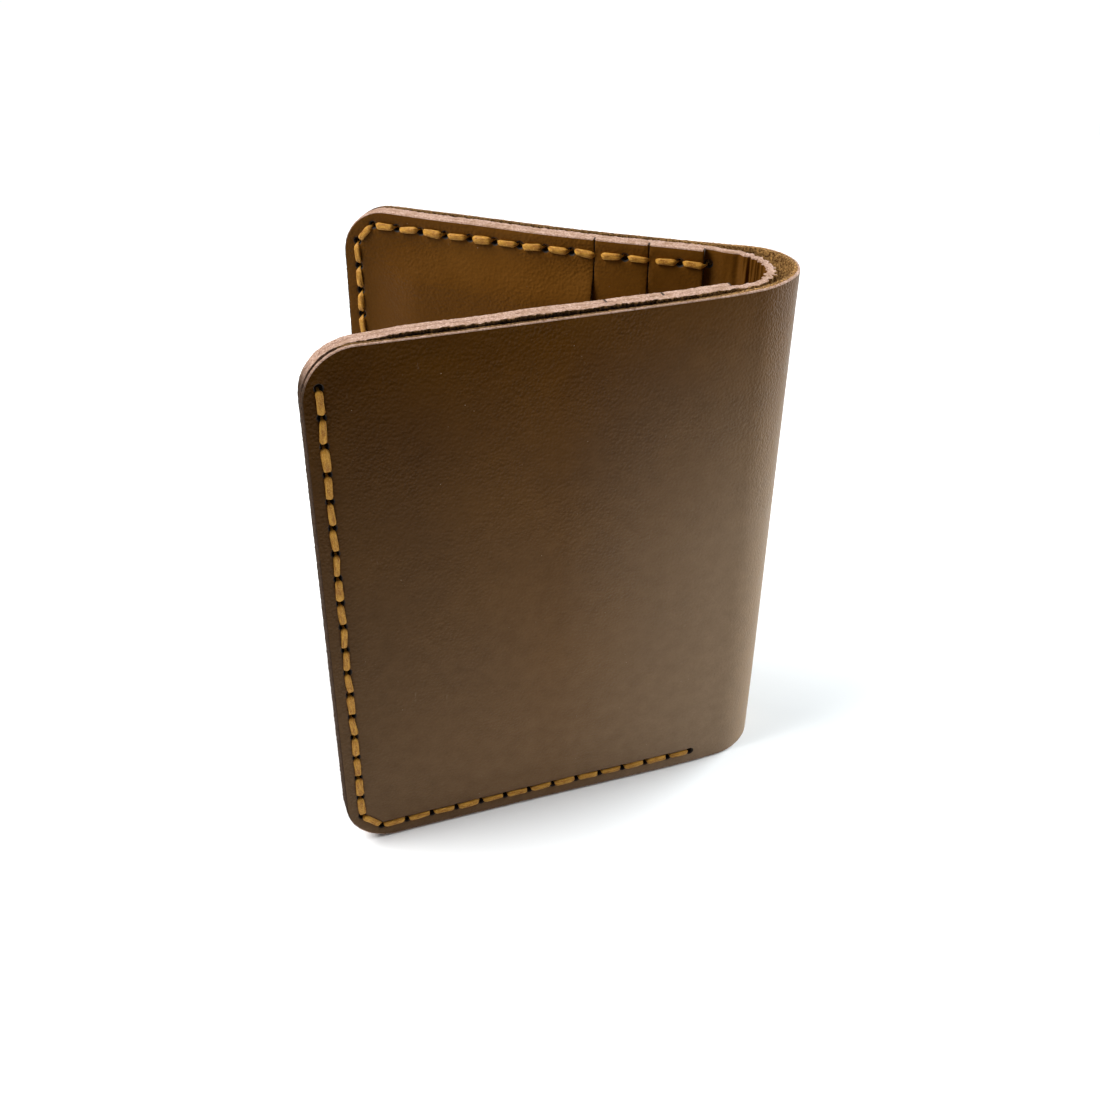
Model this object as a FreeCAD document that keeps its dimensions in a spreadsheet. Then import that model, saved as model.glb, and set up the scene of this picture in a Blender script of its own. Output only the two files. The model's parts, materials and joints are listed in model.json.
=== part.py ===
"""Hand-stitched bifold leather wallet, standing on its bottom edge and half open.

Frame: millimetres, +Z up along the fold, +X towards the fold, the front panel on the
-Y side and the back panel, its mirror image, on the +Y side.  The origin is the bottom
centre of the wallet's bounding box.

Each panel is drawn flat in its own axes before it is placed: "s" runs along X from the
panel's free edge to the fold, Z is up, and "depth" is measured from the shell's grain
side inwards.  The layers by depth are the shell, the liner and the three card pockets,
whose heads lie side by side along the stitched edges and whose skived middles and stems
lie under the next pocket.

The fold is a living hinge.  Shell and liner bend there over six upright hinge lines on
the shell's grain side, so five strips of each lie between the two panels.
"""
import FreeCAD
import Part
import Sketcher
import math
import os
from FreeCAD import Placement, Rotation, Vector

DRIVING = {
    "panel_run": 77.5,          # free edge to the start of the fold's arc
    "fold_radius": 11.2,        # grain side of the shell in the fold
    "half_angle": 17.8,         # each panel's angle from the X axis, degrees
    "leather": 1.35,            # shell, liner and pocket heads
    "skived": 0.8,              # middles and stems of the second and third pocket
    "slack": 0.05,              # room between a pocket and the one under it
    "relief": 0.3,              # depth of the note compartment
    "relief_border": 6.0,       # sewn border round the note compartment
    "corner_radius": 9.0,
    "pitch": 5.0,               # stitch length
    "margin": 2.8,              # stitch line to the edge
    "side_holes": 19,           # awl holes along the free edge
    "row_holes": 14,            # awl holes along the top or bottom edge
    "hole_diameter": 1.1,
    "hole_to_pocket": 0.75,     # a pocket's edge to the hole just past it
    "leg_diameter": 0.8,        # thread inside the leather
    "thread_width": 1.0,        # thread lying on the leather
    "thread_height": 0.5,
    "groove_room": 0.1,         # room on each side of a thread sunk in the leather
    "card_room": 87.0,          # width of a stem, for a card of 85.6
    "stem_margin": 0.3,         # a pocket's raised middle stands this far outside a stem
    "stem_2_base": 8.0,         # s where the second pocket's stem ends
    "stem_3_base": 18.0,        # s where the third pocket's stem ends
    "stem_joint": 1.0,          # a stem's overlap with its own head
    "slope": 2.6,               # length over which a pocket rises over the stems
    "pocket_step": 10.0,        # distance between pocket edges
    "liner_shift": 3.0,         # liner's arc centre, from the fold's towards the panels
    "apex_gap": 3.5,            # shell to liner at the middle of the fold
    "hinge_count": 6,
    "strip_clearance": 0.05,    # a strip's distance from its hinge line
    "strip_taper": 4.0,         # a strip's draft from the hinge line inwards, degrees
}

PANELS = {"front": 1, "back": -1}      # side, and the sign of Y that points inwards
UP = Vector(0, 0, 1)
TINY = 1e-6


def derive(d):
    """Sizes that follow from the driving ones, under names of their own."""
    half = math.radians(d["half_angle"])
    corner_step = d["pitch"] / math.sqrt(2.0)
    half_width = 0.5 * d["thread_width"]
    slant = half_width / math.sqrt(2.0)
    short = d["thread_width"] / math.sqrt(2.0)
    liner_depth = d["leather"]
    pocket_depth = 2.0 * d["leather"]
    inner_face = 3.0 * d["leather"]
    first_hole = d["margin"] + corner_step
    last_hole = first_hole + (d["row_holes"] - 1) * d["pitch"]
    last_side_hole = first_hole + (d["side_holes"] - 1) * d["pitch"]
    height = last_side_hole + first_hole
    top_row = height - d["margin"]
    edge_3 = last_hole - d["hole_to_pocket"]
    edge_2 = edge_3 - d["pocket_step"]
    edge_1 = edge_2 - d["pocket_step"]
    stem_bottom = 0.5 * (height - d["card_room"])
    tip_bottom = stem_bottom - d["stem_margin"]
    tip_side = d["stem_2_base"] - d["stem_margin"]
    free_edge_x = (d["panel_run"] * math.cos(half)
                   - (d["fold_radius"] - inner_face) * math.sin(half))
    sizes = {
        "turn": 180.0 - 2.0 * d["half_angle"],
        "fold_x": 0.5 * (free_edge_x - d["fold_radius"]),
        "height": height,
        "first_hole": first_hole,
        "last_hole": last_hole,
        "top_row": top_row,
        "edge_1": edge_1,
        "edge_2": edge_2,
        "edge_3": edge_3,
        "pocket_2_first": edge_1 + d["hole_to_pocket"],
        "pocket_3_first": edge_2 + d["hole_to_pocket"],
        "pocket_depth": pocket_depth,
        "inner_face": inner_face,
        "middle_3_face": pocket_depth + d["skived"],
        "middle_2_back": pocket_depth + d["skived"] + d["slack"],
        "middle_2_face": pocket_depth + 2.0 * d["skived"] + d["slack"],
        "middle_1_back": pocket_depth + 2.0 * (d["skived"] + d["slack"]),
        "middle_1_face": inner_face + 2.0 * (d["skived"] + d["slack"]),
        "stem_bottom": stem_bottom,
        "stem_top": height - stem_bottom,
        "stem_2_end": edge_1 + d["stem_joint"],
        "stem_3_end": edge_2 + d["stem_joint"],
        "tip_bottom": tip_bottom,
        "tip_top": height - tip_bottom,
        "tip_side": tip_side,
        "rise_bottom": tip_bottom - d["slope"],
        "rise_top": height - tip_bottom + d["slope"],
        "rise_side": tip_side - d["slope"],
        "liner_back": liner_depth + d["relief"],
        "liner_flat": last_hole + d["hole_diameter"],
        "tail_left": d["margin"] + short - slant,
        "tail_right": d["margin"] + short + slant,
        "tail_low": last_side_hole + short - slant,
        "tail_high": last_side_hole + short + slant,
        "groove_depth": d["thread_height"] + d["slack"],
        "liner_groove_depth": d["relief"] + d["thread_height"] + d["slack"],
        "outer_run": d["slack"],
        "hidden_run": liner_depth + d["relief"],
        "leg_from_outer": d["slack"] + 0.5 * d["thread_height"],
        "leg_from_hidden": liner_depth + d["relief"] + 0.5 * d["thread_height"],
        "long_leg": inner_face - d["slack"],
        "short_leg": inner_face - liner_depth - d["relief"],
        "liner_radius": d["fold_radius"] - d["leather"] - d["apex_gap"] + d["liner_shift"],
    }
    for name, half_run in (("run", half_width), ("groove", half_width + d["groove_room"])):
        mitre = half_run * math.tan(math.radians(22.5))
        sizes[f"{name}_outside"] = d["margin"] - half_run
        sizes[f"{name}_inside"] = d["margin"] + half_run
        sizes[f"{name}_turn_outside"] = first_hole - mitre
        sizes[f"{name}_turn_inside"] = first_hole + mitre
        sizes[f"{name}_side_end"] = last_side_hole + half_run
        sizes[f"{name}_row_start"] = first_hole - half_run
        sizes[f"{name}_row_end"] = last_hole + half_run
        sizes[f"{name}_top_low"] = top_row - half_run
        sizes[f"{name}_top_high"] = top_row + half_run
    return sizes


doc = FreeCAD.newDocument("bifold_wallet")
sheet = doc.addObject("Spreadsheet::Sheet", "Dimensions")
sizes = dict(DRIVING)
sizes.update(derive(DRIVING))
for row, (alias, value) in enumerate(sizes.items(), start=1):
    sheet.set(f"A{row}", alias)
    sheet.set(f"B{row}", repr(value))
    sheet.setAlias(f"B{row}", alias)
doc.recompute()

subparts = []


def dim(alias):
    """A size read back from the sheet; None stands for zero."""
    return float(getattr(sheet, alias)) if alias else 0.0


def bind(item, prop, formula):
    """Tie a property to the sheet: every word of the formula that is an alias is one."""
    words = [f"Dimensions.{word}" if word in sizes else word for word in formula.split()]
    item.setExpression(prop, " ".join(words))


# ------------------------------------------------------------------ bodies and sketches

def new_body(name):
    """A named body that becomes one node."""
    body = doc.addObject("PartDesign::Body", name)
    body.Label = name
    subparts.append(body)
    return body


def place_on_panel(item, inward):
    """Swing a piece drawn flat to its side of the wallet."""
    half = math.radians(dim("half_angle"))
    run = dim("panel_run")
    radius = dim("fold_radius")
    base_x = dim("fold_x") - run * math.cos(half) + radius * math.sin(half)
    base_y = -inward * (run * math.sin(half) + radius * math.cos(half))
    turned = Rotation(UP, inward * dim("half_angle"))
    item.Placement = Placement(Vector(base_x, base_y, 0), turned)


def new_sketch(body, role, offset="0"):
    """A sketch on one of the body's own origin planes, moved along the plane's normal."""
    sketch = body.newObject("Sketcher::SketchObject", "Sketch")
    plane = next(item for item in body.Origin.OriginFeatures if item.Role == role)
    sketch.AttachmentSupport = [(plane, "")]
    sketch.MapMode = "FlatFace"
    bind(sketch, "AttachmentOffset.Base.z", offset)
    return sketch


def panel_sketch(body, inward, depth):
    """A sketch over (s, Z) at a depth; the plane's own normal is -Y."""
    if depth is None:
        return new_sketch(body, "XZ_Plane")
    return new_sketch(body, "XZ_Plane", f"{-inward} * {depth}")


def add_edges(sketch, edges, rounded=False):
    """Add a closed loop of edges, each joined to the next; arcs run smoothly into
    straight edges where the loop is rounded."""
    ids = [sketch.addGeometry(edge, False) for edge in edges]
    for here, after in zip(ids, ids[1:] + ids[:1]):
        ends = [(a, b) for a in (1, 2) for b in (1, 2)
                if sketch.getPoint(here, a).distanceToPoint(sketch.getPoint(after, b)) < TINY]
        smooth = rounded and type(edges[here]) is not type(edges[after])
        kind = "Tangent" if smooth else "Coincident"
        sketch.addConstraint(Sketcher.Constraint(kind, here, ends[0][0], after, ends[0][1]))
    return ids


def hold(sketch, direction, edge, end, alias):
    """Fix one end of an edge along X or Y by a sheet size, on the axis where it is None."""
    if alias is None:
        axis = -2 if direction == "X" else -1
        sketch.addConstraint(Sketcher.Constraint("PointOnObject", edge, end, axis))
    else:
        rule = Sketcher.Constraint("Distance" + direction, -1, 1, edge, end, dim(alias))
        bind(sketch, f"Constraints[{sketch.addConstraint(rule)}]", alias)


def draw_polygon(sketch, corners):
    """Straight edges through corners that are pairs of sheet sizes."""
    points = [Vector(dim(x), dim(y), 0) for x, y in corners]
    sides = [Part.LineSegment(a, b) for a, b in zip(points, points[1:] + points[:1])]
    for edge, (x, y) in zip(add_edges(sketch, sides), corners):
        hold(sketch, "X", edge, 1, x)
        hold(sketch, "Y", edge, 1, y)


def rectangle(left, right, bottom, top):
    """The corners of an upright rectangle between four sheet sizes."""
    return [(left, bottom), (right, bottom), (right, top), (left, top)]


def edge_run(name):
    """The outline of the edge thread's run, or of its groove, down and along."""
    side, end = f"{name}_side_end", f"{name}_row_end"
    outside, inside = f"{name}_outside", f"{name}_inside"
    turn_outside, turn_inside = f"{name}_turn_outside", f"{name}_turn_inside"
    return [(outside, side), (outside, turn_outside), (turn_outside, outside),
            (end, outside), (end, inside), (turn_inside, inside),
            (inside, turn_inside), (inside, side)]


def top_run(name):
    """The outline of the top thread's straight run, or of its groove."""
    return rectangle(f"{name}_row_start", f"{name}_row_end",
                     f"{name}_top_low", f"{name}_top_high")


def draw_circle(sketch, x_alias, y_alias, diameter_alias):
    """A circle at a pair of sheet sizes."""
    centre = Vector(dim(x_alias), dim(y_alias), 0)
    circle = sketch.addGeometry(Part.Circle(centre, UP, 0.5 * dim(diameter_alias)), False)
    hold(sketch, "X", circle, 3, x_alias)
    hold(sketch, "Y", circle, 3, y_alias)
    rule = Sketcher.Constraint("Diameter", circle, dim(diameter_alias))
    bind(sketch, f"Constraints[{sketch.addConstraint(rule)}]", diameter_alias)


def draw_outline(sketch, run_alias):
    """A panel's outline: square at the fold, both corners of the free edge rounded."""
    run = dim(run_alias)
    height = dim("height")
    radius = dim("corner_radius")
    low_circle = Part.Circle(Vector(radius, radius, 0), UP, radius)
    high_circle = Part.Circle(Vector(radius, height - radius, 0), UP, radius)
    bottom, end, top, high, side, low = add_edges(sketch, [
        Part.LineSegment(Vector(radius, 0, 0), Vector(run, 0, 0)),
        Part.LineSegment(Vector(run, 0, 0), Vector(run, height, 0)),
        Part.LineSegment(Vector(run, height, 0), Vector(radius, height, 0)),
        Part.ArcOfCircle(high_circle, 0.5 * math.pi, math.pi),
        Part.LineSegment(Vector(0, height - radius, 0), Vector(0, radius, 0)),
        Part.ArcOfCircle(low_circle, math.pi, 1.5 * math.pi)], rounded=True)
    sketch.addConstraint(Sketcher.Constraint("Vertical", side))
    sketch.addConstraint(Sketcher.Constraint("Vertical", end))
    sketch.addConstraint(Sketcher.Constraint("Horizontal", bottom))
    sketch.addConstraint(Sketcher.Constraint("Horizontal", top))
    sketch.addConstraint(Sketcher.Constraint("Equal", low, high))
    hold(sketch, "X", side, 1, None)
    hold(sketch, "X", end, 1, run_alias)
    hold(sketch, "Y", end, 1, None)
    hold(sketch, "Y", end, 2, "height")
    rule = Sketcher.Constraint("Radius", low, radius)
    bind(sketch, f"Constraints[{sketch.addConstraint(rule)}]", "corner_radius")


# ------------------------------------------------------------------------------ features

def apply_feature(body, feature, grows):
    """Make a feature the body's tip and insist that it added or removed material."""
    before = body.Shape.Volume if not body.Shape.isNull() else 0.0
    body.Tip = feature
    doc.recompute()
    change = body.Shape.Volume - before
    if abs(change) < TINY or (change > 0.0) != grows:
        raise RuntimeError(f"{feature.Name} of {body.Label} changed its volume by {change}")


def pad(body, sketch, length, reverse=False):
    """Raise a sketch along its plane's normal, or against it."""
    feature = body.newObject("PartDesign::Pad", "Pad")
    feature.Profile = sketch
    bind(feature, "Length", length)
    feature.Reversed = reverse
    apply_feature(body, feature, grows=True)
    return feature


def add_sheet(body, inward, depth, length, limits):
    """A rectangular layer of leather at a depth."""
    sketch = panel_sketch(body, inward, depth)
    draw_polygon(sketch, rectangle(*limits))
    pad(body, sketch, length, reverse=inward > 0)


def add_panel(body, inward, depth, run_alias):
    """A layer of leather with the panel's full outline."""
    sketch = panel_sketch(body, inward, depth)
    draw_outline(sketch, run_alias)
    pad(body, sketch, "leather", reverse=inward > 0)


def cut_polygon(body, inward, depth, length, corners):
    """Sink a polygon into a layer from its outer side."""
    sketch = panel_sketch(body, inward, depth)
    draw_polygon(sketch, corners)
    feature = body.newObject("PartDesign::Pocket", "Recess")
    feature.Profile = sketch
    bind(feature, "Length", length)
    feature.Reversed = inward < 0
    apply_feature(body, feature, grows=False)


def add_rise(body, inward, depths, sides, grows):
    """A frustum over the stems, added to a layer or taken out of it.

    Depths are those of its foot and its tip; sides are the s limits (foot left,
    tip left, common right).
    """
    foot_left, tip_left, right = sides
    foot = panel_sketch(body, inward, depths[0])
    draw_polygon(foot, rectangle(foot_left, right, "rise_bottom", "rise_top"))
    tip = panel_sketch(body, inward, depths[1])
    draw_polygon(tip, rectangle(tip_left, right, "tip_bottom", "tip_top"))
    kind = "AdditiveLoft" if grows else "SubtractiveLoft"
    feature = body.newObject("PartDesign::" + kind, "Rise")
    feature.Profile = foot
    feature.Sections = [tip]
    apply_feature(body, feature, grows)


def repeat_in_row(body, feature, count, along_height, grows):
    """Copies of a hole or a leg, one stitch apart, along Z or along s."""
    pattern = body.newObject("PartDesign::LinearPattern", "Row")
    pattern.Originals = [feature]
    pattern.Direction = (feature.Profile[0], ["V_Axis" if along_height else "H_Axis"])
    bind(pattern, "Length", f"pitch * {count - 1}")
    pattern.Occurrences = count
    apply_feature(body, pattern, grows)


def punch_row(body, s_alias, z_alias, count, along_height):
    """A row of awl holes right through a layer, from its first hole on."""
    sketch = panel_sketch(body, 1, None)
    draw_circle(sketch, s_alias, z_alias, "hole_diameter")
    feature = body.newObject("PartDesign::Pocket", "Hole")
    feature.Profile = sketch
    feature.Type = "ThroughAll"
    feature.Midplane = True
    apply_feature(body, feature, grows=False)
    repeat_in_row(body, feature, count, along_height, grows=False)


def add_legs(body, inward, first, depths, count, along_height):
    """The thread's legs in a row of holes: first hole (s, Z), and (start, length)."""
    start, length = depths
    sketch = panel_sketch(body, inward, start)
    draw_circle(sketch, *first, "leg_diameter")
    leg = pad(body, sketch, length, reverse=inward > 0)
    repeat_in_row(body, leg, count, along_height, grows=True)


def add_run(body, inward, depth, corners):
    """The flat thread lying on one face, along a whole row of holes."""
    sketch = panel_sketch(body, inward, depth)
    draw_polygon(sketch, corners)
    pad(body, sketch, "thread_height", reverse=inward > 0)


# --------------------------------------------------------------------- the fold's section

def hinge_angle(index):
    """Polar angle of a hinge line about the fold's centre, counted from the back."""
    return math.radians(0.5 * dim("turn") - (index + 0.5) * dim("turn") / dim("hinge_count"))


def strip_corner(index, side, centre, radius):
    """Where the leather's end beside a hinge line meets a circle of the fold.

    The end face starts a clearance away from hinge line number index, on the grain
    side, and leans away from it with depth.  Side is +1 towards the back panel and -1
    towards the front one.  Points are taken from the fold's centre.
    """
    angle = hinge_angle(index)
    outward = Vector(math.cos(angle), math.sin(angle), 0)
    across = Vector(-math.sin(angle), math.cos(angle), 0) * side
    lean = math.radians(dim("strip_taper"))
    direction = across * math.sin(lean) - outward * math.cos(lean)
    start = outward * dim("fold_radius") + across * dim("strip_clearance") - centre
    reach = start.dot(direction)
    step = -reach - math.sqrt(reach * reach - start.dot(start) + radius * radius)
    return start + direction * step + centre


def ring_edges(centre, radii, low, high):
    """Two arcs and two ends; low and high are the (outer, inner) corners at the ends."""
    arcs = []
    for radius, first, last in zip(radii, low, high):
        angles = [math.atan2(p.y - centre.y, p.x - centre.x) for p in (first, last)]
        arcs.append(Part.ArcOfCircle(Part.Circle(centre, UP, radius), *angles))
    return [arcs[0], Part.LineSegment(high[0], high[1]), arcs[1],
            Part.LineSegment(low[1], low[0])]


def fold_layer(layer):
    """Centre and (outer, inner) radii of the shell or the liner in the fold."""
    if layer == "shell":
        outer = dim("fold_radius")
        return Vector(0, 0, 0), (outer, outer - dim("leather"))
    outer = dim("liner_radius")
    return Vector(-dim("liner_shift"), 0, 0), (outer, outer - dim("leather"))


def to_panel(point, inward):
    """A point from the fold's centre, in the axes of a panel drawn flat."""
    turned = Rotation(UP, -inward * dim("half_angle")).multVec(point)
    return turned + Vector(dim("panel_run"), inward * dim("fold_radius"), 0)


def panel_end(layer, inward):
    """Outer and inner corner of a panel's leather at its own hinge line, drawn flat."""
    centre, radii = fold_layer(layer)
    index = int(dim("hinge_count")) - 1 if inward > 0 else 0
    return [to_panel(strip_corner(index, -inward, centre, radius), inward) for radius in radii]


def lazy_bend(start, end):
    """Two equal arcs from one point to another, level at both, as an S."""
    run = end.x - start.x
    rise = end.y - start.y
    turn = 2.0 * math.atan2(abs(rise), run)
    radius = 0.5 * run / math.sin(turn)
    along = radius * math.sin(0.5 * turn)
    across = math.copysign(radius * (1.0 - math.cos(0.5 * turn)), rise)
    middle = (start + end) * 0.5
    return [Part.Arc(start, start + Vector(along, across, 0), middle),
            Part.Arc(middle, end - Vector(along, across, 0), end)]


# ------------------------------------------------------------------------------ sub-parts

def make_shell_panel(side, inward):
    """One half of the outer leather, with the first bit of the fold on it."""
    body = new_body(f"shell_{side}_panel")
    add_panel(body, inward, None, "panel_run")
    bend = new_sketch(body, "XY_Plane")
    centre, radii = fold_layer("shell")
    tangent = [Vector(dim("panel_run"), inward * depth, 0) for depth in (0.0, dim("leather"))]
    ends = [tangent, panel_end("shell", inward)]
    low, high = ends if inward > 0 else reversed(ends)
    add_edges(bend, ring_edges(to_panel(centre, inward), radii, low, high))
    pad(body, bend, "height")
    cut_polygon(body, inward, None, "groove_depth", edge_run("groove"))
    punch_row(body, "margin", "first_hole", int(dim("side_holes")), along_height=True)
    punch_row(body, "first_hole", "margin", int(dim("row_holes")), along_height=False)
    place_on_panel(body, inward)


def make_liner_panel(side, inward):
    """One half of the inner leather, relieved for notes, with its swing into the fold."""
    body = new_body(f"liner_{side}_panel")
    add_panel(body, inward, "leather", "liner_flat")
    room = rectangle("relief_border", "liner_flat", "relief_border", "height")
    cut_polygon(body, inward, "leather", "relief", room)
    cut_polygon(body, inward, "leather", "liner_groove_depth", top_run("groove"))
    bend = new_sketch(body, "XY_Plane")
    centre, radii = fold_layer("liner")
    middle = to_panel(centre, inward)
    corners = panel_end("liner", inward)
    edges = []
    for radius, corner, start_depth in zip(radii, corners, ("liner_back", "pocket_depth")):
        start = Vector(dim("liner_flat"), inward * dim(start_depth), 0)
        level = middle - Vector(0, inward * radius, 0)
        angles = [math.atan2(p.y - middle.y, p.x - middle.x) for p in (level, corner)]
        arc = Part.ArcOfCircle(Part.Circle(middle, UP, radius), min(angles), max(angles))
        edges.append(lazy_bend(start, level) + [arc])
    outer, inner = edges
    starts = [Vector(dim("liner_flat"), inward * dim(a), 0)
              for a in ("liner_back", "pocket_depth")]
    add_edges(bend, outer + [Part.LineSegment(*corners)] + inner[::-1]
              + [Part.LineSegment(starts[1], starts[0])])
    pad(body, bend, "height")
    punch_row(body, "margin", "first_hole", int(dim("side_holes")), along_height=True)
    punch_row(body, "first_hole", "margin", int(dim("row_holes")), along_height=False)
    punch_row(body, "first_hole", "top_row", int(dim("row_holes")), along_height=False)
    place_on_panel(body, inward)


def make_spine_strip(layer, number):
    """One strip of shell or liner between two hinge lines, numbered from the back."""
    body = new_body(f"{layer}_spine_{number}")
    centre, radii = fold_layer(layer)
    low = [strip_corner(number, 1, centre, radius) for radius in radii]
    high = [strip_corner(number - 1, -1, centre, radius) for radius in radii]
    sketch = new_sketch(body, "XY_Plane")
    add_edges(sketch, ring_edges(centre, radii, low, high))
    pad(body, sketch, "height")
    bind(body, "Placement.Base.x", "fold_x")


def punch_head(body, first_alias, count):
    """The holes of a pocket's head along the top and the bottom edge."""
    for row_alias in ("top_row", "margin"):
        punch_row(body, first_alias, row_alias, count, along_height=False)


def make_pocket_1(side, inward):
    """The top pocket: a full panel that rises over the stems of the other two."""
    body = new_body(f"pocket_1_{side}")
    add_panel(body, inward, "pocket_depth", "edge_1")
    sides = ("rise_side", "tip_side", "edge_1")
    add_rise(body, inward, ("inner_face", "middle_1_face"), sides, grows=True)
    add_rise(body, inward, ("pocket_depth", "middle_1_back"), sides, grows=False)
    punch_row(body, "margin", "first_hole", int(dim("side_holes")), along_height=True)
    head_holes = round((dim("pocket_2_first") - dim("first_hole")) / dim("pitch"))
    punch_head(body, "first_hole", head_holes)
    place_on_panel(body, inward)


def make_pocket_2(side, inward):
    """The middle pocket: a T whose skived middle and stem lie over the third one."""
    body = new_body(f"pocket_2_{side}")
    add_sheet(body, inward, "pocket_depth", "leather", ("edge_1", "edge_2", None, "height"))
    sides = ("edge_1", "edge_1", "edge_2")
    add_rise(body, inward, ("inner_face", "middle_2_face"), sides, grows=True)
    add_rise(body, inward, ("pocket_depth", "middle_2_back"), sides, grows=False)
    stem = ("stem_2_base", "stem_2_end", "stem_bottom", "stem_top")
    add_sheet(body, inward, "middle_2_back", "skived", stem)
    punch_head(body, "pocket_2_first", round(dim("pocket_step") / dim("pitch")))
    place_on_panel(body, inward)


def make_pocket_3(side, inward):
    """The bottom pocket: a T whose skived middle and stem lie on the liner."""
    body = new_body(f"pocket_3_{side}")
    add_sheet(body, inward, "pocket_depth", "leather", ("edge_2", "edge_3", None, "height"))
    sides = ("edge_2", "edge_2", "edge_3")
    add_rise(body, inward, ("inner_face", "middle_3_face"), sides, grows=False)
    stem = ("stem_3_base", "stem_3_end", "stem_bottom", "stem_top")
    add_sheet(body, inward, "pocket_depth", "skived", stem)
    punch_head(body, "pocket_3_first", round(dim("pocket_step") / dim("pitch")))
    place_on_panel(body, inward)


def make_edge_thread(side, inward):
    """Thread through every layer, down the free edge and along the bottom edge.

    Outside it lies in a groove, level with the shell; inside it stands on the pockets.
    """
    body = new_body(f"edge_thread_{side}")
    legs = ("leg_from_outer", "long_leg")
    add_run(body, inward, "outer_run", edge_run("run"))
    add_legs(body, inward, ("margin", "first_hole"), legs, int(dim("side_holes")), True)
    add_legs(body, inward, ("first_hole", "margin"), legs, int(dim("row_holes")), False)
    add_run(body, inward, "inner_face", edge_run("run"))
    place_on_panel(body, inward)


def make_top_thread(side, inward):
    """Thread through the pockets and liner only, sunk in the liner's hidden side.

    On the inner face it ends in a tail that slants down to the free edge's top hole.
    """
    body = new_body(f"top_thread_{side}")
    legs = ("leg_from_hidden", "short_leg")
    add_run(body, inward, "hidden_run", top_run("run"))
    add_legs(body, inward, ("first_hole", "top_row"), legs, int(dim("row_holes")), False)
    end_low, end_high = top_run("run")[1:3]
    add_run(body, inward, "inner_face",
            [end_low, end_high, ("run_turn_outside", "run_top_high"),
             ("tail_left", "tail_high"), ("tail_right", "tail_low"),
             ("run_turn_inside", "run_top_low")])
    place_on_panel(body, inward)


for panel_side, panel_inward in PANELS.items():
    make_shell_panel(panel_side, panel_inward)
    make_liner_panel(panel_side, panel_inward)
    make_pocket_1(panel_side, panel_inward)
    make_pocket_2(panel_side, panel_inward)
    make_pocket_3(panel_side, panel_inward)
    make_edge_thread(panel_side, panel_inward)
    make_top_thread(panel_side, panel_inward)
for strip_layer in ("shell", "liner"):
    for strip_number in range(1, int(dim("hinge_count"))):
        make_spine_strip(strip_layer, strip_number)
doc.recompute()

for item in doc.Objects:
    if "Invalid" in item.State or "Error" in item.State:
        raise RuntimeError(f"{item.Label} failed: {item.State}")
for piece in subparts:
    if piece.Shape.isNull() or not piece.Shape.isValid() or len(piece.Shape.Solids) != 1:
        raise RuntimeError(f"{piece.Label} is not one valid solid")

os.makedirs("parts", exist_ok=True)
for piece in subparts:
    piece.Shape.exportStep(f"parts/{piece.Label}.step")
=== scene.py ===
"""Looks of the hand-stitched bifold wallet, built around its CAD frame.

The section is worked out in millimetres and the meshes are made in metres.  A panel has
its own axes: s runs from the free edge to the fold, z is up and depth is measured from
the shell's grain side inwards.  Past a panel's end the leather goes round the fold, where
a place is given by its polar angle about the fold's centre.
"""
import bpy
import json
import math
import numpy as np
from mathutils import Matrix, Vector, geometry, noise

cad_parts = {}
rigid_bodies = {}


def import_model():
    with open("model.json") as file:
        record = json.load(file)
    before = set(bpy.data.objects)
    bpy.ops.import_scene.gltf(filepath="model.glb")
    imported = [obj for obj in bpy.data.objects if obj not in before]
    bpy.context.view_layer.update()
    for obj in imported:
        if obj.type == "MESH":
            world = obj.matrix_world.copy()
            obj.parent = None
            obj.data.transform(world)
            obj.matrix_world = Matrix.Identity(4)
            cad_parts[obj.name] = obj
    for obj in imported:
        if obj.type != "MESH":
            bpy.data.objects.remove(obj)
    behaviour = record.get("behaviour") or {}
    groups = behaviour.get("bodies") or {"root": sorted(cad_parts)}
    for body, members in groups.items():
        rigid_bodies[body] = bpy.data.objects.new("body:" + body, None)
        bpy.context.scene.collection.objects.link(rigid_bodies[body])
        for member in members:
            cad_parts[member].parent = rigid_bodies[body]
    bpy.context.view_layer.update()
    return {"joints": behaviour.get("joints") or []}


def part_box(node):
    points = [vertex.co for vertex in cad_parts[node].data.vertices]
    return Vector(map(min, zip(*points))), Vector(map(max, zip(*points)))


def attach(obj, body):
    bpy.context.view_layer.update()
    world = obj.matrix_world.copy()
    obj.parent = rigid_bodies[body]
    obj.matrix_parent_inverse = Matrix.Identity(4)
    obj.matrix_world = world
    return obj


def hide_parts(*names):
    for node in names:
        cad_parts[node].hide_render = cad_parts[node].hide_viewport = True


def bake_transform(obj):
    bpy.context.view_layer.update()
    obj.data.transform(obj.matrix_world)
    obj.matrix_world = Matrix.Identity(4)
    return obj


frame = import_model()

MM = 0.001
RNG = np.random.default_rng(7)

# ---- the frame's section

HINGES = [np.array(joint["pos_m"][:2]) / MM for joint in frame["joints"]]
BODIES = [frame["joints"][0]["parent"]] + [joint["child"] for joint in frame["joints"]]
# The hinges lie on a circle about the fold's centre, on the shell's grain side.
FOLD_X = ((HINGES[2] @ HINGES[2] - HINGES[0] @ HINGES[0])
          / (2.0 * (HINGES[2][0] - HINGES[0][0])))
FOLD_RADIUS = float(np.hypot(HINGES[0][0] - FOLD_X, HINGES[0][1]))
STEP = 2.0 * math.atan2(HINGES[2][1], HINGES[2][0] - FOLD_X)    # polar angle between hinges
HALF_TURN = 0.5 * STEP * len(HINGES)    # polar angle from the fold's middle to a panel
HALF_ANGLE = 0.5 * math.pi - HALF_TURN  # how far a panel leans from the middle plane
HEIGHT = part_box("shell_front_panel")[1].z / MM
FREE_EDGE_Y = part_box("shell_front_panel")[0].y / MM
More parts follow.
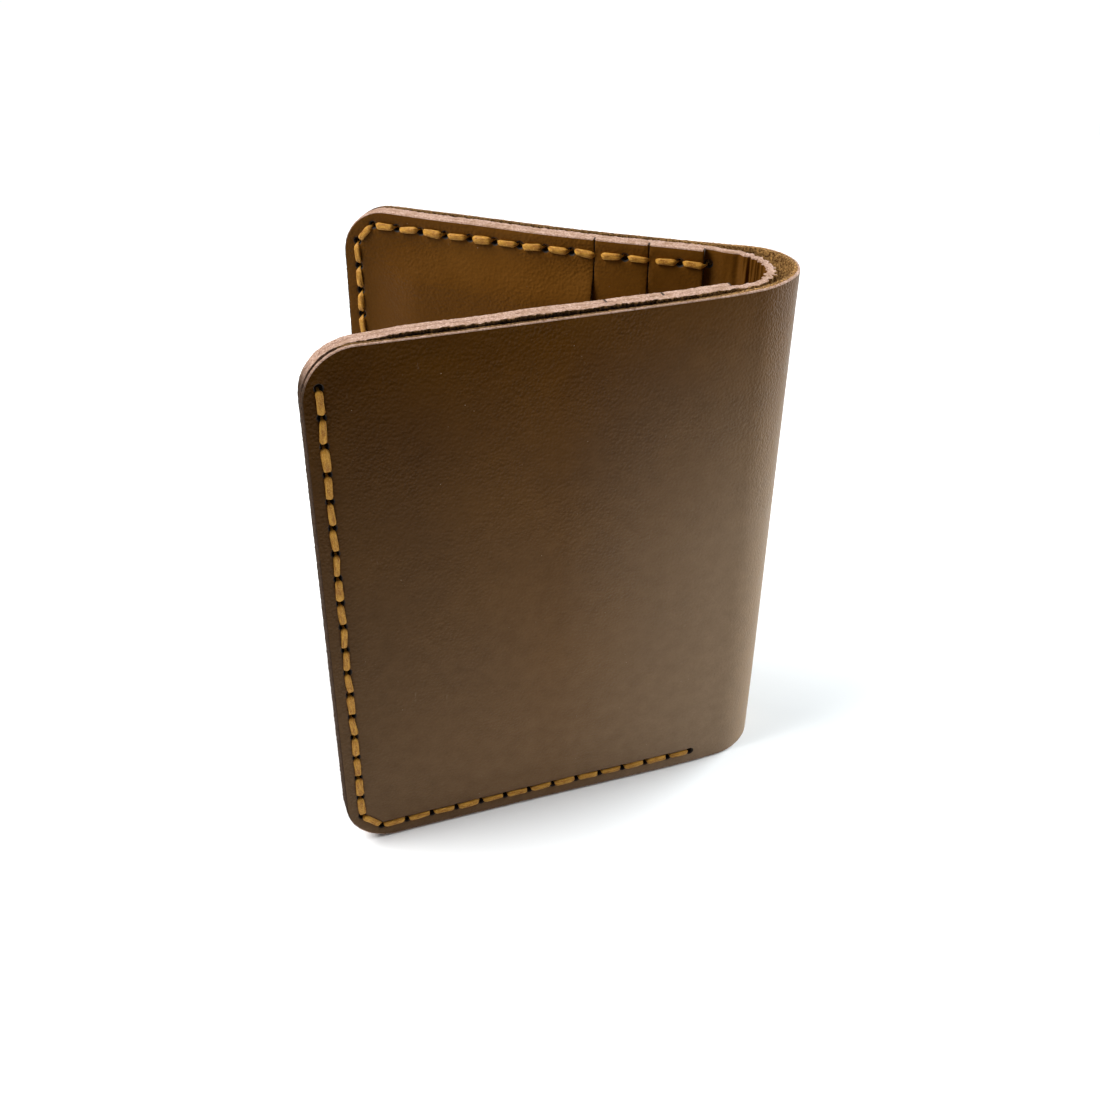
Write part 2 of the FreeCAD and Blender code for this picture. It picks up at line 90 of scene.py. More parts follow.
# A panel's length along s, and where its free edge stands.
RUN = (-FREE_EDGE_Y - FOLD_RADIUS * math.cos(HALF_ANGLE)) / math.sin(HALF_ANGLE)
FREE_EDGE_X = FOLD_X - RUN * math.cos(HALF_ANGLE) + FOLD_RADIUS * math.sin(HALF_ANGLE)

LEATHER = 1.35                # thickness of the leather
LINER_SHIFT = 3.0             # from the fold's centre to the liner's, towards the panels
APEX_GAP = 3.5                # shell to liner at the middle of the fold
LINER_RADIUS = FOLD_RADIUS - LEATHER - APEX_GAP + LINER_SHIFT
LINER_ARC_S = RUN - LINER_SHIFT * math.cos(HALF_ANGLE)
LINER_ARC_DEPTH = FOLD_RADIUS + LINER_SHIFT * math.sin(HALF_ANGLE)
CORNER_RADIUS = 9.0
PITCH = 5.0                   # from one stitch hole to the next
MARGIN = 2.8                  # from a row of holes to the leather's edge
FIRST_HOLE = MARGIN + PITCH / math.sqrt(2.0)
SIDE_HOLES = 19
ROW_HOLES = 14
LAST_HOLE = FIRST_HOLE + (ROW_HOLES - 1) * PITCH
TOP_ROW = HEIGHT - MARGIN
EDGE_3 = LAST_HOLE - 0.75     # the mouths of the pockets
EDGE_2 = EDGE_3 - 10.0
EDGE_1 = EDGE_2 - 10.0
STEM_STARTS = {2: 8.0, 3: 18.0}    # how far a T-shaped pocket's stem reaches
STEM_BORDER = 8.0             # bottom or top edge to a stem's side
INWARD = {"front": 1, "back": -1}  # which way along y the inside lies
ARC = FOLD_RADIUS * 2.0 * HALF_TURN     # the shell's length round the fold
TOTAL = 2.0 * RUN + ARC       # the opened-out leather, from free edge to free edge
FAR = 1e9                     # farther than any real distance


def smooth(x, low, high):
    """0 below low, 1 above high and an even rise between them."""
    t = np.clip((x - low) / (high - low), 0.0, 1.0)
    return t * t * (3.0 - 2.0 * t)


def warp(s, z, side):
    """How far a whole panel stands inside its flat plane."""
    if side == "front":
        return 0.15 * np.sin(s / 17.0 + z / 40.0) * (1.0 - smooth(s, RUN - 12.0, RUN))
    spread = -1.3 * (1.0 - smooth(s, 0.0, 42.0)) * smooth(z, 20.0, HEIGHT)
    belly = 0.6 * smooth(s, 26.0, 50.0) * (1.0 - smooth(s, 50.0, RUN))
    return spread + belly


def bill_gap(s, z, side):
    """How far the liner stands off the shell where the note compartment gapes."""
    wide = {"front": 1.35, "back": 0.55}[side]
    along = smooth(s, 6.0, 19.0)
    waves = 1.0 + 0.12 * np.sin(s / 6.1 + 1.0) + 0.08 * np.sin(s / 2.7)
    height = np.clip((z - 6.0) / (HEIGHT - 6.0), 0.0, 1.0) ** 1.4
    return wide * along * waves * height


def liner_depth(s, z, side, height):
    """Depth of the liner in a panel, at a height above its flesh side."""
    level = LINER_ARC_DEPTH - LINER_RADIUS
    flat = LEATHER + bill_gap(s, z, side) + height
    eased = flat + (level + height - flat) * smooth(s, LAST_HOLE - 0.4, LINER_ARC_S)
    radius = LINER_RADIUS - height
    reach = np.clip(s - LINER_ARC_S, 0.0, None)
    return np.where(s < LINER_ARC_S, eased, LINER_ARC_DEPTH - np.sqrt(radius ** 2 - reach ** 2))


def flat_u(s, side):
    """Distance along the opened-out leather from the front free edge."""
    return s if side == "front" else TOTAL - s


def middle(z, border, width):
    """0 along the sewn top and bottom borders and 1 between them."""
    return smooth(z, border, border + width) * smooth(HEIGHT - z, border, border + width)


def to_world(s, z, depth, side):
    """Places given in a panel's own axes, in the CAD frame's metres."""
    cos, sin = math.cos(HALF_ANGLE), math.sin(HALF_ANGLE)
    x = FREE_EDGE_X + s * cos - depth * sin
    y = FREE_EDGE_Y + s * sin + depth * cos
    return np.stack([x, INWARD[side] * y, z], axis=-1) * MM


# ---- rows of holes

DENT = 0.75                   # how far the leather is pressed down beside the thread


def side_row():
    """Hole centres down the free edge, from the top."""
    return [(MARGIN, FIRST_HOLE + PITCH * i) for i in reversed(range(SIDE_HOLES))]


def bottom_row():
    """Hole centres along the bottom edge, from the free edge."""
    return [(FIRST_HOLE + PITCH * i, MARGIN) for i in range(ROW_HOLES)]


def top_row():
    """Hole centres along the top edge, from the free edge."""
    return [(FIRST_HOLE + PITCH * i, TOP_ROW) for i in range(ROW_HOLES)]


def path_distance(s, z, path):
    """Distance from points to a line through the path's points."""
    best = np.full(np.shape(s), FAR)
    for (s0, z0), (s1, z1) in zip(path, path[1:]):
        run = np.array([s1 - s0, z1 - z0])
        t = np.clip(((s - s0) * run[0] + (z - z0) * run[1]) / (run @ run), 0.0, 1.0)
        best = np.minimum(best, np.hypot(s - s0 - t * run[0], z - z0 - t * run[1]))
    return best


def pressed(s, z, rows, groove, dimple):
    """How deep the thread and the awl have pressed the leather down."""
    s, z = np.asarray(s, float), np.asarray(z, float)
    line = np.full(s.shape, FAR)
    holes = np.zeros(s.shape)
    for row in rows:
        line = np.minimum(line, path_distance(s, z, row))
        for hole_s, hole_z in row:
            away = np.hypot(s - hole_s, z - hole_z)
            holes = np.maximum(holes, np.exp(-(away / DENT) ** 2))
    return groove * np.exp(-(line / DENT) ** 2) + dimple * holes


# ---- sheet meshes

HOLE_ALONG = 0.66             # half size of an awl hole along the row
HOLE_ACROSS = 0.66
HOLE_POINTS = 20
HOLE_BEVEL = 0.16             # width of the worn lip round a hole
HOLE_RING = 0.5               # from a hole to the ring of points beside it
GRIDS = ((1.0, 2.4, np.inf), (0.45, 1.3, 2.4))    # (spacing, nearest, farthest) to a hole
ROW_STEP = 0.866              # from row to row of a triangular grid with a spacing of 1
RIM_INSET = 0.22              # width of a cut edge's rounding
RIM = ((0.05, 0.05), (0.0, 0.14), (0.0, 0.32), (0.0, 0.5), (0.0, 0.68), (0.0, 0.86),
       (0.05, 0.96))          # (inset, share of the thickness) down a cut edge
FIRM_STRIPS = {"shell": 3, "liner": 7}    # of a cut edge, before it frays into nap
GRAIN, FLESH, CUT, HOLE, MOUTH = range(5)     # kinds of faces, in the materials' order


def outline_points(corners, spacing=0.28):
    """Points along a closed line of straight runs and rounded corners.

    Corners are (s, z, radius) in counter-clockwise order.
    """
    points = []
    count = len(corners)
    for i in range(count):
        before, here, after = (np.array(corners[(i + k) % count][:2]) for k in (-1, 0, 1))
        radius = corners[i][2]
        into = (here - before) / np.linalg.norm(here - before)
        out = (after - here) / np.linalg.norm(after - here)
        if radius:
            centre = here - into * radius + out * radius
            steps = max(2, int(radius * 0.5 * math.pi / spacing))
            angles = np.linspace(0.0, 0.5 * math.pi, steps + 1)
            points += [centre - out * radius * math.cos(a) + into * radius * math.sin(a)
                       for a in angles]
        else:
            points.append(here)
        start = here + out * radius
        end = after - out * corners[(i + 1) % count][2]
        steps = max(1, int(round(np.linalg.norm(end - start) / spacing)))
        points += [start + (end - start) * k / steps for k in range(1, steps)]
    return np.array(points)


def outline_normals(points):
    """Outward directions at the points of a counter-clockwise outline."""
    forward = np.roll(points, -1, axis=0) - points
    forward /= np.linalg.norm(forward, axis=1)[:, None]
    mean = forward + np.roll(forward, 1, axis=0)
    mean /= np.linalg.norm(mean, axis=1)[:, None]
    return np.stack([mean[:, 1], -mean[:, 0]], axis=1)


def hole_loop(centre, along, grow):
    """An oval round an awl hole, grown by a distance; along is the row's direction."""
    angles = np.linspace(0.0, 2.0 * math.pi, HOLE_POINTS, endpoint=False)
    across = np.array([-along[1], along[0]])
    return (np.array(centre)
            + np.outer((HOLE_ALONG + grow) * np.cos(angles), along)
            + np.outer((HOLE_ACROSS + grow) * np.sin(angles), across))


def row_directions(row):
    """The direction of a row of stitches at each of its holes."""
    row = np.array(row)
    ahead = row[1:] - row[:-1]
    ahead /= np.linalg.norm(ahead, axis=1)[:, None]
    mean = np.vstack([ahead[:1], ahead[:-1] + ahead[1:], ahead[-1:]])
    return mean / np.linalg.norm(mean, axis=1)[:, None]


def holes_of(rows, keep):
    """(centre, direction) of the rows' holes, where keep says so."""
    found = []
    for row in rows:
        found += [(hole, along) for hole, along in zip(row, row_directions(row)) if keep(*hole)]
    return found


def inside_loop(s, z, loop):
    """Which points lie inside a closed loop."""
    result = np.zeros(s.shape, bool)
    for (s0, z0), (s1, z1) in zip(loop, np.roll(loop, -1, axis=0)):
        crosses = (z0 > z) != (z1 > z)
        rise = z1 - z0 if z1 != z0 else 1.0
        result ^= crosses & (s < s0 + (z - z0) * (s1 - s0) / rise)
    return result


def scatter_points(loop, holes):
    """A triangular grid inside the loop, denser beside the holes and next to the fold."""
    low, high = loop.min(0), loop.max(0)
    points = []
    for size, nearest, farthest in GRIDS:
        zs = np.arange(low[1], high[1], size * ROW_STEP)
        ss = np.arange(low[0], high[0], size)
        grid_s, grid_z = np.meshgrid(ss, zs)
        grid_s = grid_s + 0.5 * size * (np.arange(len(zs)) % 2)[:, None]
        grid_s, grid_z = grid_s.ravel(), grid_z.ravel()
        near = np.where(grid_s > RUN - 9.0, 2.0, FAR)
        for (hole_s, hole_z), _along in holes:
            near = np.minimum(near, np.hypot(grid_s - hole_s, grid_z - hole_z))
        keep = inside_loop(grid_s, grid_z, loop) & (near >= nearest) & (near < farthest)
        keep &= loop_distance(grid_s, grid_z, loop) > 0.45 * size
        points.append(np.stack([grid_s[keep], grid_z[keep]], axis=1))
    return np.vstack(points)


def loop_distance(s, z, loop):
    """Distance from points to the nearest point of a finely divided loop."""
    best = np.full(s.shape, FAR)
    for point_s, point_z in loop:
        best = np.minimum(best, (s - point_s) ** 2 + (z - point_z) ** 2)
    return np.sqrt(best)


def triangulate(loop, holes):
    """Points and triangles of a flat sheet with oval holes.

    The loop's points come first and each hole's points after them, in order.
    """
    loops = [loop] + [hole_loop(centre, along, HOLE_BEVEL) for centre, along in holes]
    rings = [hole_loop(centre, along, HOLE_RING) for centre, along in holes]
    points = np.vstack(loops + rings + [scatter_points(loop, holes)])
    edges = []
    start = 0
    for ring in loops:
        count = len(ring)
        edges += [(start + i, start + (i + 1) % count) for i in range(count)]
        start += count
    result = geometry.delaunay_2d_cdt([Vector(p) for p in points], edges, [], 0, 1e-7)
    places = np.array([v[:] for v in result[0]])
    order = np.full(len(places), -1)
    for new, old in enumerate(result[3]):
        order[new] = old[0]
    triangles = order[np.array(result[2])]
    centres = points[triangles].mean(axis=1)
    keep = inside_loop(centres[:, 0], centres[:, 1], loop)
    for ring in loops[1:]:
        keep &= ~inside_loop(centres[:, 0], centres[:, 1], ring)
    return points, triangles[keep], [len(ring) for ring in loops]


def rough_rim(base, levels):
    """Fibres that stand out of a cut edge: a push outwards for every point."""
    values = [noise.noise(Vector((p[0] * 1.7, p[1] * 1.7, 9.0 + 2.5 * k)))
              + 0.6 * noise.noise(Vector((p[0] * 4.3, p[1] * 4.3, 20.0 + 5.0 * k)))
              for p, k in zip(base, levels)]
    return 0.09 * np.array(values)


def rim_rings(loop, normals, holes):
    """The flat loops down a cut edge and down the holes' walls, one for each rim level."""
    rings = []
    for inset, _share in RIM:
        moved = [loop + normals * (RIM_INSET - inset)]
        moved += [hole_loop(centre, along, 0.7 * inset) for centre, along in holes]
        rings.append(np.vstack(moved))
    return rings


def rim_places(rings, loop, normals, surface, side):
    """The rings' places in metres, with fibres that stand out of the cut edge."""
    edge = np.stack([flat_u(loop[:, 0], side), loop[:, 1]], axis=1)
    places = []
    for level, ((_inset, share), ring) in enumerate(zip(RIM, rings)):
        frayed = ring.copy()
        frayed[:len(loop)] += normals * rough_rim(edge, [level] * len(loop))[:, None]
        places.append(surface(frayed[:, 0], frayed[:, 1], share))
    return places


def rim_faces(levels, counts, mouth, firm):
    """Faces and kinds of the strips between levels of rings; mouth marks a pocket's mouth."""
    faces, kinds = [], []
    for step, (upper, lower) in enumerate(zip(levels, levels[1:])):
        # Below its upper rounding a pocket's mouth takes the burnished finish, which also holds
        # painted shade.
        lip = GRAIN if step == 0 else MOUTH
        rim_kind = CUT if step < firm else FLESH
        start = 0
        for which, count in enumerate(counts):
            for i in range(count):
                here, after = start + i, start + (i + 1) % count
                quad = [upper[after], upper[here], lower[here], lower[after]]
                faces.append(quad if which == 0 else quad[::-1])
                kinds.append(HOLE if which else lip if mouth[i] else rim_kind)
            start += count
    return faces, kinds


def make_sheet(name, loop, normals, holes, surface, side, firm=len(RIM) + 1):
    """A sheet of leather with rounded, fibrous cut edges and open awl holes.

    Surface(s, z, share) gives places in metres for a share of the thickness counted from
    the grain side.  Normals are the loop's outward directions, zero along a seam.  A cut
    edge shows pale for its first firm strips and as loose nap for the others.
    """
    points, triangles, counts = triangulate(loop, holes)
    number, ring_size = len(points), sum(counts)
    rings = rim_rings(loop, normals, holes)
    verts = [surface(points[:, 0], points[:, 1], share) for share in (0.0, 1.0)]
    verts += rim_places(rings, loop, normals, surface, side)
    faces = [list(t) for t in triangles] + [[number + i for i in t[::-1]] for t in triangles]
    kinds = [GRAIN] * len(triangles) + [FLESH] * len(triangles)
    starts = [0] + [2 * number + k * ring_size for k in range(len(RIM))] + [number]
    levels = [start + np.arange(ring_size) for start in starts]
    mouth = (np.abs(normals[:, 0]) > 0.5) & (loop[:, 0] > 20.0)
    strips, strip_kinds = rim_faces(levels, counts, mouth, firm)
    flat = np.vstack([points, points] + rings)
    flat[:, 0] = flat_u(flat[:, 0], side)
    return new_mesh(name, np.vstack(verts), faces + strips, kinds + strip_kinds, flat * MM)


def new_mesh(name, verts, faces, kinds, flat):
    """A smooth mesh object; flat places per vertex become its texture coordinates."""
    mesh = bpy.data.meshes.new(name)
    mesh.from_pydata([tuple(v) for v in verts], [], faces)
    mesh.polygons.foreach_set("material_index", np.array(kinds, np.int32))
    mesh.polygons.foreach_set("use_smooth", np.ones(len(mesh.polygons), bool))
    loops = np.zeros(len(mesh.loops), np.int32)
    mesh.loops.foreach_get("vertex_index", loops)
    layer = mesh.uv_layers.new(name="UVMap")
    layer.data.foreach_set("uv", np.asarray(flat, np.float32)[loops].ravel())
    mesh.set_sharp_from_angle(angle=math.radians(62.0))
    mesh.validate()
    obj = bpy.data.objects.new(name, mesh)
    bpy.context.scene.collection.objects.link(obj)
    return obj


# ---- leather pieces

ALL_ROWS = [side_row() + bottom_row(), top_row()]
SHELL_ROWS = ALL_ROWS[:1]
TAIL_ROW = [top_row()[0], side_row()[0]]


def sharpen(u, z):
    """How far the shell in the fold runs inside a true arc; more so towards the top."""
    flatter = 1.5 * np.exp(-((u - RUN - 5.5) / 8.0) ** 2) * (0.3 + 0.7 * smooth(z, 5.0, HEIGHT))
    fuller = 0.6 * np.exp(-((u - RUN - 23.5) / 8.0) ** 2)
    return flatter - fuller


def wrinkles(u, z):
    """Upright wrinkles of the liner where the fold squeezes it."""
    from_middle = np.abs(u - 0.5 * TOTAL)
    room = 1.0 - smooth(from_middle, 0.44 * ARC, 0.50 * ARC + 6.0)
    sway = np.array([noise.noise(Vector((a / 12.0, b / 18.0, 5.0))) for a, b in zip(u, z)])
    fade = np.array([noise.noise(Vector((a / 3.0, b / 30.0, 8.0))) for a, b in zip(u, z)])
    waves = np.sin(2.0 * math.pi * (u / 2.9 + 0.9 * sway))
    waves = waves + 0.5 * np.sin(2.0 * math.pi * (u / 1.7 - 1.3 * sway))
    return 0.28 * room * waves * (0.75 + 1.2 * fade)


def ragged(u, z):
    """Loose fibres standing off the flesh side along the top cut edge."""
    near = smooth(z, HEIGHT - 1.0, HEIGHT - 0.3)
    coarse = [noise.noise(Vector((a / 0.75, b, 2.0))) for a, b in zip(u, z)]
    fine = [noise.noise(Vector((a / 0.3, b, 6.0))) for a, b in zip(u, z)]
    return near * (0.12 + 0.34 * np.array(coarse) + 0.26 * np.array(fine))


def panel_loop(corners, seam):
    """A cut outline, moved in by the rim, with its normals; the seam side stays put."""
    points = outline_points(corners)
    normals = outline_normals(points)
    if seam:
        on_seam = np.abs(points[:, 0] - RUN) < 1e-6
        normals[on_seam] = 0.0
        normals[on_seam & (points[:, 1] < 1e-6)] = (0.0, -1.0)
        normals[on_seam & (points[:, 1] > HEIGHT - 1e-6)] = (0.0, 1.0)
    return points - normals * RIM_INSET, normals


def full_corners(end):
    """A panel's outline, with rounded corners at the free edge."""
    return [(0.0, 0.0, CORNER_RADIUS), (end, 0.0, 0.0), (end, HEIGHT, 0.0),
            (0.0, HEIGHT, CORNER_RADIUS)]


def shell_thickness(s, z, side):
    """The front shell is pared thin along the mouth of the note compartment."""
    pared = smooth(z, HEIGHT - 7.0, HEIGHT - 0.6) * smooth(s, 5.0, 14.0)
    pared = pared * (1.0 - smooth(s, RUN - 12.0, RUN - 1.0))
    removed = {"front": 0.5, "back": 0.2}[side]
    return LEATHER - removed * pared + 0.35 * ragged(flat_u(s, side), z)


def shell_surface(side):
    """Places on the shell of a panel."""
    def surface(s, z, share):
        depth = warp(s, z, side) + sharpen(flat_u(s, side), z)
        depth = depth + shell_thickness(s, z, side) * share
        if share < 0.5:
            depth = depth + (1.0 - 2.0 * share) * pressed(s, z, SHELL_ROWS, 0.46, 0.15)
        return to_world(s, z, depth, side)
    return surface


def liner_surface(side):
    """Places on the liner of a panel; its grain side faces inwards."""
    def surface(s, z, share):
        u = flat_u(s, side)
        depth = liner_depth(s, z, side, LEATHER * (1.0 - share)) + warp(s, z, side)
        depth = depth + wrinkles(u, z) - smooth(share, 0.4, 1.0) * ragged(u, z)
        return to_world(s, z, depth, side)
    return surface


def pocket_rise(number, s, z):
    """How far a pocket's back stands off the liner, over the stems under it."""
    over = middle(z, 4.4, 9.0)
    if number == 1:
        return 1.9 * over * smooth(s, 4.4, 16.0)
    if number == 2:
        return 0.85 * over * smooth(s, 12.0, STEM_STARTS[3])
    return np.zeros(np.shape(s))


def pocket_thickness(number, s, z):
    """Full at the heads, skived in the middles and thinnest at a stem's borders."""
    if number == 1:
        return np.full(np.shape(s), LEATHER)
    head = LEATHER + (0.8 - LEATHER) * middle(z, 4.6, 12.0)
    stem = 0.2 + 0.6 * middle(z, 4.6, 12.0) * smooth(s, STEM_STARTS[number], 24.0)
    start = pocket_span(number, "back")[0]
    return stem + (head - stem) * smooth(s, start - 0.8, start)


def pocket_surface(number, side):
    """Places on a pocket; its grain side faces inwards."""
    def surface(s, z, share):
        depth = liner_depth(s, z, side, LEATHER) + warp(s, z, side)
        depth = depth + pocket_rise(number, s, z)
        depth = depth + pocket_thickness(number, s, z) * (1.0 - share)
        if share < 0.5:
            rows = ALL_ROWS + [TAIL_ROW]
            depth = depth - (1.0 - 2.0 * share) * pressed(s, z, rows, 0.14, 0.16)
        return to_world(s, z, depth, side)
    return surface


def pocket_span(number, side):
    """From where to where a pocket shows; the front's last one reaches a little further."""
    last = EDGE_3 + {"front": 2.4, "back": 0.0}[side]
    return {1: (0.0, EDGE_1), 2: (EDGE_1, EDGE_2), 3: (EDGE_2, last)}[number]


def pocket_corners(number, side):
    """A pocket's outline: the first is a full panel, the others are Ts."""
    start, end = pocket_span(number, side)
    if number == 1:
        return full_corners(end)
    stem = STEM_STARTS[number]
    top = HEIGHT - STEM_BORDER
    start = start + 0.12
    return [(stem, STEM_BORDER, 0.0), (start, STEM_BORDER, 0.0), (start, 0.0, 0.0),
            (end, 0.0, 0.0), (end, HEIGHT, 0.0), (start, HEIGHT, 0.0),
            (start, top, 0.0), (stem, top, 0.0)]


def finish_piece(obj, materials, nodes):
    """Give a piece its materials and hide the CAD nodes it stands for."""
    for material in materials:
        obj.data.materials.append(material)
    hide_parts(*nodes)


def make_shell_panel(side, materials):
    """The outer leather of one half."""
    loop, normals = panel_loop(full_corners(RUN), seam=True)
    holes = holes_of(SHELL_ROWS, lambda s, z: True)
    obj = make_sheet(f"shell_{side}_leather", loop, normals, holes, shell_surface(side),
                     side, FIRM_STRIPS["shell"])
    if side == "back":
        obj.data.flip_normals()
    finish_piece(obj, materials, [f"shell_{side}_panel"])
    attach(obj, f"{side}_panel")


def make_liner_panel(side, materials):
    """The inner leather of one half."""
    loop, normals = panel_loop(full_corners(RUN), seam=True)
    holes = holes_of(ALL_ROWS, lambda s, z: s > EDGE_3)
    obj = make_sheet(f"liner_{side}_leather", loop, normals, holes, liner_surface(side),
                     side, FIRM_STRIPS["liner"])
    if side == "front":
        obj.data.flip_normals()
    finish_piece(obj, materials, [f"liner_{side}_panel"])
    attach(obj, f"{side}_panel")


def make_pocket(number, side, materials):
    """A card pocket."""
    low, high = pocket_span(number, side)
    loop, normals = panel_loop(pocket_corners(number, side), seam=False)
    holes = holes_of(ALL_ROWS, lambda s, z: (low and low + 1.2) < s < high - 1.2)
    obj = make_sheet(f"pocket_{number}_{side}_leather", loop, normals, holes,
                     pocket_surface(number, side), side)
    if side == "front":
        obj.data.flip_normals()
    finish_piece(obj, materials, [f"pocket_{number}_{side}"])
    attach(obj, f"{side}_panel")


# ---- leather in the fold

FOLD_COLUMNS = 28             # columns of faces between two seams
SEAM_SPACING = 0.8            # from point to point up a seam


def polar_u(polar):
    """Distance along the opened-out leather at a polar angle in the fold."""
    return RUN + FOLD_RADIUS * (HALF_TURN + polar)


def shell_fold(polar, z, share):
    """Places on the shell in the fold."""
    u = polar_u(polar)
    thickness = LEATHER + 0.6 * ragged(u, z)
    return ring_place(polar, z, FOLD_RADIUS - sharpen(u, z) - thickness * share)


def liner_fold(polar, z, share):
    """Places on the liner in the fold; its grain side is the inner one."""
    radius = LINER_RADIUS - LEATHER * (1.0 - share)
    reach = np.sqrt(radius ** 2 - (LINER_SHIFT * np.sin(polar)) ** 2)
    u = polar_u(polar)
    distance = reach - LINER_SHIFT * np.cos(polar) - wrinkles(u, z)
    return ring_place(polar, z, distance + 0.5 * smooth(share, 0.4, 1.0) * ragged(u, z))


def ring_place(polar, z, distance):
    """A place in the fold, in metres."""
    return np.stack([FOLD_X + distance * np.cos(polar), distance * np.sin(polar), z],
                    axis=-1) * MM


def fold_section(layer):
    """Heights and shares round the leather's section: up the grain side and down again."""
    steps = int(round(HEIGHT / SEAM_SPACING))
    inner = [HEIGHT * k / steps for k in range(1, steps)]
    heights = [RIM_INSET] + inner + [HEIGHT - RIM_INSET]
    top = [(HEIGHT - inset, share, level) for level, (inset, share) in enumerate(RIM)]
    bottom = [(inset, share, level) for level, (inset, share) in enumerate(RIM)][::-1]
    section = [(z, 0.0, None) for z in heights] + top
    section += [(z, 1.0, None) for z in heights[::-1]] + bottom
    firm = [CUT] * FIRM_STRIPS[layer]
    loose = [FLESH] * (len(RIM) + 1 - FIRM_STRIPS[layer])
    kinds = [GRAIN] * (len(heights) - 1) + firm + loose
    kinds += [FLESH] * (len(heights) - 1) + loose + firm
    return section, kinds


def fold_points(section, polars, place):
    """A fold piece's places in metres and its flat places, one section after another."""
    marks = [(polar, z, share, -1 if level is None else level)
             for polar in polars for z, share, level in section]
    polar, z, share, level = np.array(marks).T
    u = polar_u(polar)
    at_top = z > 0.5 * HEIGHT
    edge = np.stack([u, np.where(at_top, HEIGHT - RIM_INSET, RIM_INSET)], axis=1)
    rim = level >= 0
    push = np.zeros(len(z))
    push[rim] = rough_rim(edge[rim], level[rim]) * np.where(at_top[rim], 1.0, -1.0)
    verts = np.zeros((len(z), 3))
    for value in np.unique(share):
        at = share == value
        verts[at] = place(polar[at], (z + push)[at], value)
    return verts, np.stack([u, z], axis=1) * MM


def fold_faces(kinds):
    """Faces and kinds of a fold piece: strips round the bend, and its two ends."""
    count = len(kinds)
    faces = []
    for first in range(0, FOLD_COLUMNS * count, count):
        for k in range(count):
            here, after = first + k, first + (k + 1) % count
            faces.append([here, here + count, after + count, after])
    faces.append(list(range(count)))
    faces.append([FOLD_COLUMNS * count + k for k in range(count)][::-1])
    return faces, kinds * FOLD_COLUMNS + [CUT, CUT]


def make_fold_piece(layer, index, place, materials):
    """The leather between two seams of the fold."""
    section, kinds = fold_section(layer)
    first = HALF_TURN - STEP * index
    polars = np.linspace(first, first - STEP, FOLD_COLUMNS + 1)
    verts, flat = fold_points(section, polars, place)
    faces, face_kinds = fold_faces(kinds)
    obj = new_mesh(f"{layer}_fold_{index + 1}", verts, faces, face_kinds, flat)
    if layer == "shell":
        obj.data.flip_normals()
    near = [f"{layer}_spine_{k}" for k in (index, index + 1) if 0 < k < len(HINGES)]
    finish_piece(obj, materials, near)
    count = len(section)
    seams = np.vstack([verts[:count], verts[-count:]]) / MM
    inmost = 0.99 * np.hypot(seams[:, 0] - FOLD_X, seams[:, 1]).min()
    ends = [Vector(ring_place(np.array(polar), np.array(0.5 * HEIGHT), inmost))
            for polar in (polars[0], polars[-1])]
    BODIES[index]
    BODIES[index + 1]
    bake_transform(obj)


# ---- thread

# (distance past the hole, height over the leather) along half a stitch
STITCH = ((0.30, -1.3), (0.44, -0.80), (0.53, -0.42), (0.70, -0.08), (0.95, 0.05), (1.5, 0.1))
THREAD_SIDES = 18
THREAD_WIDTH = (0.60, 0.62)   # half the thread's width on the outer and the inner face
THREAD_FLATNESS = 0.6         # its thickness over its width
PLIES = 4
PLY_DEPTH = 0.10              # of the furrows between its plies
PLY_TWIST = 1.1               # phase of the furrows, radians in a millimetre
SUNK = 0.26                   # how deep the thread lies in the outer face


def stitch_points(start, along, length, place, lean, width, tuck):
    """(s, z, depth, width) of points along one stitch; tuck shortens what shows of it."""
    shape = [(x + tuck * float(smooth(h, -0.6, 0.0)), h) for x, h in STITCH]
    marks = shape + [(length - x, h) for x, h in shape[::-1]]
    across = np.array([-along[1], along[0]])
    points = []
    for x, height in marks:
        share = x / length
        s, z = np.array(start) + along * x + across * lean * (2.0 * share - 1.0)
        narrow = 0.36 + 0.64 * smooth(height, -0.5, 0.15)
        points.append((s, z, place(s, z, height), width * float(narrow)))
    return points


def thread_line(row, places, first_face):
    """One of the two threads of a saddle stitch: its stitches take turns on the faces.

    Returns rows of s, z, depth, half width and the two parts of the stitch's direction.
    """
    row = [np.array(hole, float) for hole in row]
    points = []
    for k, (here, after) in enumerate(zip(row, row[1:])):
        face = (k + first_face) % 2
        length = float(np.linalg.norm(after - here))
        along = (after - here) / length
        lean = RNG.normal(0.10, 0.13)
        width = THREAD_WIDTH[face] * (1.0 + RNG.normal(0.0, 0.10))
        lift = RNG.normal(0.0, 0.025)
        place = places[face]
        stitch = stitch_points(here, along, length,
                               lambda s, z, h, p=place, d=lift: p(s, z, h + d), lean, width,
                               0.30 * face)
        points += [point + (along[0], along[1]) for point in stitch]
    return np.array(points)


def refine(points, steps=3):
    """More points on a smooth curve through the given ones."""
    padded = np.vstack([2 * points[0] - points[1], points, 2 * points[-1] - points[-2]])
    out = []
    for i in range(1, len(padded) - 2):
        p0, p1, p2, p3 = padded[i - 1:i + 3]
        for t in np.arange(steps) / steps:
            out.append(0.5 * (2 * p1 + (p2 - p0) * t + (2 * p0 - 5 * p1 + 4 * p2 - p3) * t ** 2
                              + (3 * p1 - p0 - 3 * p2 + p3) * t ** 3))
    out.append(points[-1])
    return np.array(out)


def shouldered(wave):
    """A wave from -1 to 1 with fuller shoulders."""
    return np.sign(wave) * np.abs(wave) ** 0.8


